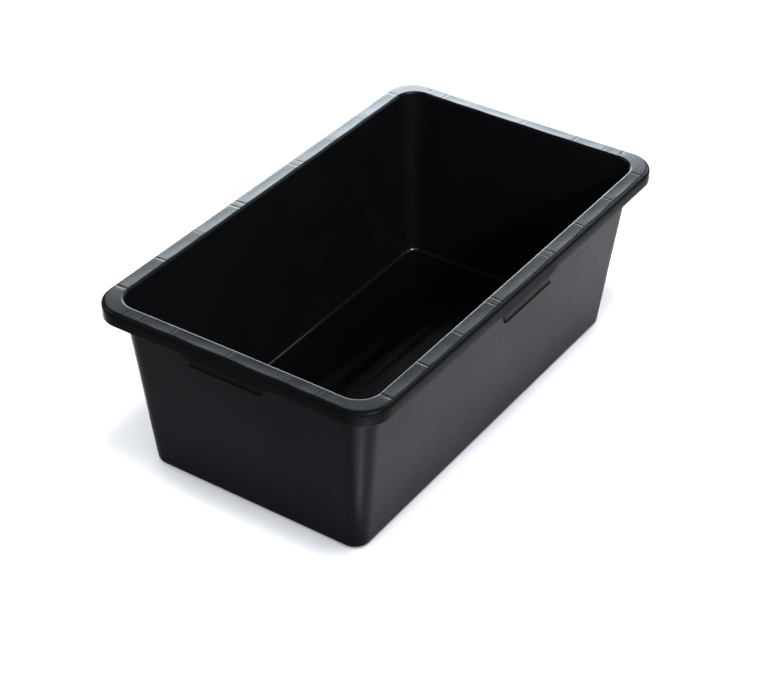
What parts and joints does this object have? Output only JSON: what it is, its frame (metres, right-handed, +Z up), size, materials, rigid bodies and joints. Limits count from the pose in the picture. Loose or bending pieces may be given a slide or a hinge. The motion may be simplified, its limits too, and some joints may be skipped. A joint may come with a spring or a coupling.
{
  "type": "mortar mixing tub",
  "caption": "Deep rectangular mixing tub with sloping walls, rounded corners, a flat rim rounded over into a turned-down skirt, hand grips at the middle of each side and ribs under the rim.",
  "frame": {"origin": "centre of the flat underside, on the surface that the tub stands on", "axes": "+X along the tub's length, towards its right side; +Y across it, towards its back; +Z up, out of its mouth"},
  "size_m": [0.75, 0.446, 0.27],
  "materials": {
    "body_plastic": "near-black moulded polyolefin, satin, smoother inside than outside",
    "rim_plastic": "near-black moulded polyolefin, satin, polished by handling on the rim"
  },
  "bodies": {
    "root": {"floor_pan": "body_plastic", "side_walls": "body_plastic", "rim_flange": "rim_plastic", "rim_skirt": "rim_plastic", "grip_front": "rim_plastic", "grip_back": "rim_plastic", "grip_left": "rim_plastic", "grip_right": "rim_plastic", "ribs_front": "rim_plastic", "ribs_back": "rim_plastic", "ribs_left": "rim_plastic", "ribs_right": "rim_plastic"}
  },
  "joints": []
}
